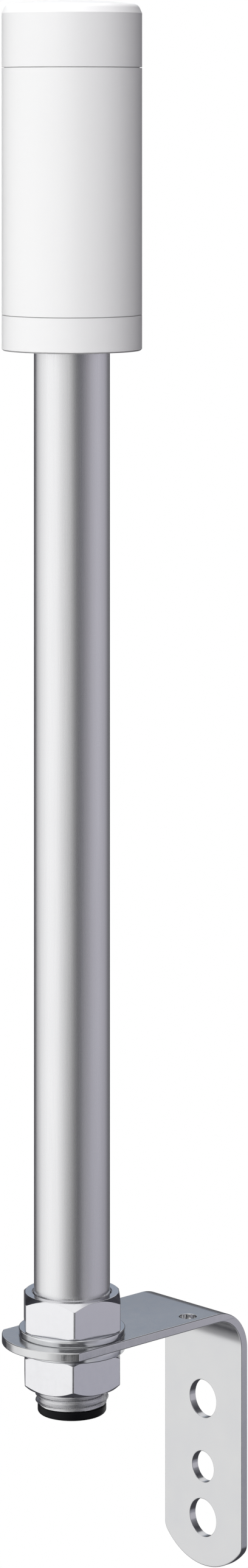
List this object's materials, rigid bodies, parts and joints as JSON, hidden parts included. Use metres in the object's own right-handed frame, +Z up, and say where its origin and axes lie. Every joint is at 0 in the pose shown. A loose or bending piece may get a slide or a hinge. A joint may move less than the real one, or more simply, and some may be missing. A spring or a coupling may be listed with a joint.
{
  "type": "pole mounted stack light",
  "caption": "Slim white signal light with a cap, lens and base ring on a threaded aluminium pole, clamped by nuts and washers in a folded L-shaped wall bracket.",
  "frame": {"origin": "middle of the two large wall holes, on the bracket's wall face", "axes": "+Z up along the pole, +Y out of the wall face towards the wall, +X along the wall"},
  "size_m": [0.04, 0.075, 0.4585],
  "materials": {
    "white_plastic": "satin moulded",
    "opal_plastic": "satin opal diffuser",
    "seal_rubber": "matte",
    "bush_rubber": "satin moulded",
    "pole_aluminium": "satin anodised",
    "flange_aluminium": "turned",
    "bracket_zinc": "bright zinc plated",
    "washer_zinc": "bright zinc plated",
    "nut_zinc": "bright zinc plated",
    "screw_steel": "plated",
    "frame_plastic": "moulded",
    "board": "white solder mask",
    "led": "lamp package",
    "terminal_plastic": "moulded",
    "pin_metal": "plated"
  },
  "bodies": {
    "bracket": {"bracket": "bracket_zinc"},
    "mast": {"pole": "pole_aluminium", "upper_nut": "nut_zinc", "upper_washer": "washer_zinc", "end_bush": "bush_rubber", "base_housing": "white_plastic", "base_gasket": "seal_rubber", "pole_flange": "flange_aluminium", "pole_gasket": "seal_rubber", "flange_screws": "screw_steel", "carrier_screws": "screw_steel", "board_carrier": "frame_plastic", "front_led_board": "board", "front_leds": "led", "back_led_board": "board", "back_leds": "led", "driver_board": "board", "terminal_block": "terminal_plastic", "terminal_screws": "screw_steel", "driver_pins": "pin_metal", "link_pins": "pin_metal"},
    "lens": {"lens": "opal_plastic"},
    "cap": {"top_cap": "white_plastic", "cap_gasket": "seal_rubber"},
    "lower_washer": {"lower_washer": "washer_zinc"},
    "lower_nut": {"lower_nut": "nut_zinc"}
  },
  "joints": [
    {"name": "mast_turn", "type": "hinge", "parent": "bracket", "child": "mast", "pos_m": [0, -0.055, 0.0475], "axis": [0, 0, 1], "continuous": true},
    {"name": "lens_twist", "type": "hinge", "parent": "mast", "child": "lens", "pos_m": [0, -0.055, 0.3375], "axis": [0, 0, 1], "range_deg": [0, 25]},
    {"name": "cap_twist", "type": "hinge", "parent": "lens", "child": "cap", "pos_m": [0, -0.055, 0.408], "axis": [0, 0, 1], "range_deg": [0, 25]},
    {"name": "washer_travel", "type": "slide", "parent": "mast", "child": "lower_washer", "axis": [0, 0, 1], "range_m": [-0.0155, 0]},
    {"name": "lower_nut_turn", "type": "hinge", "parent": "lower_washer", "child": "lower_nut", "pos_m": [0, -0.055, 0.0382], "axis": [0, 0, 1], "range_deg": [-3100, 10]}
  ],
  "couplings": [
    {"joint": "lower_nut_turn", "follows": "washer_travel", "rad_per_m": 3463.7}
  ]
}
